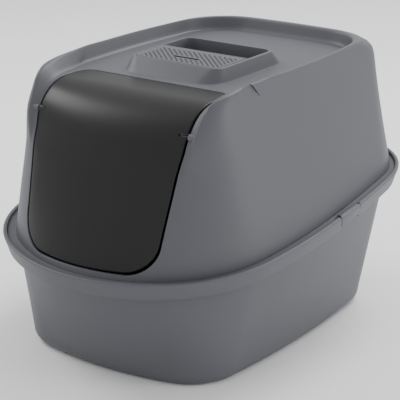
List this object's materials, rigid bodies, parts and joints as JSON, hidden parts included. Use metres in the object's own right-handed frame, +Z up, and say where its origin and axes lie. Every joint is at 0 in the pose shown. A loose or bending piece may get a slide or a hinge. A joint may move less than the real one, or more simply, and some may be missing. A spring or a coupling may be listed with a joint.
{
  "type": "hooded litter box",
  "caption": "Hooded cat litter box with a flared tray, a lift-off hood, a curved swing door in front, a hinged filter cover on top and side latches.",
  "frame": {"origin": "on the floor, under the middle of the bounding box", "axes": "+X to the object's right when it is seen from behind, -Y out of the door at the front, +Y to the rear, +Z up"},
  "size_m": [0.418, 0.56, 0.367],
  "materials": {
    "shell": "fine satin grain",
    "door": "smoky, softly glossy",
    "pin": "plain",
    "carbon": "coarse foam"
  },
  "bodies": {
    "tray_body": {"tray": "shell", "latch_pin_left": "pin", "latch_pin_right": "pin"},
    "hood_body": {"hood": "shell", "door_pin_left": "pin", "door_pin_right": "pin", "cover_pin_left": "pin", "cover_pin_right": "pin", "filter_grille": "shell", "filter_pad": "carbon"},
    "door_body": {"door": "door"},
    "cover_body": {"filter_cover": "shell"},
    "latch_left_body": {"latch_left": "shell"},
    "latch_right_body": {"latch_right": "shell"}
  },
  "joints": [
    {"name": "hood_lift", "type": "slide", "parent": "tray_body", "child": "hood_body", "axis": [0, 0, 1], "range_m": [0, 0.3]},
    {"name": "door_swing", "type": "hinge", "parent": "hood_body", "child": "door_body", "pos_m": [0, -0.18424, 0.31564], "axis": [1, 0, 0], "range_deg": [-60, 60]},
    {"name": "cover_lift", "type": "hinge", "parent": "hood_body", "child": "cover_body", "pos_m": [0, 0.0085, 0.3632], "axis": [-1, 0, 0], "range_deg": [0, 95]},
    {"name": "latch_left_turn", "type": "hinge", "parent": "tray_body", "child": "latch_left_body", "pos_m": [-0.19709, 0.04186, 0.16227], "axis": [0, -0.9949, -0.1013], "range_deg": [0, 70]},
    {"name": "latch_right_turn", "type": "hinge", "parent": "tray_body", "child": "latch_right_body", "pos_m": [0.19709, 0.04186, 0.16227], "axis": [0, 0.9949, 0.1013], "range_deg": [0, 70]}
  ]
}
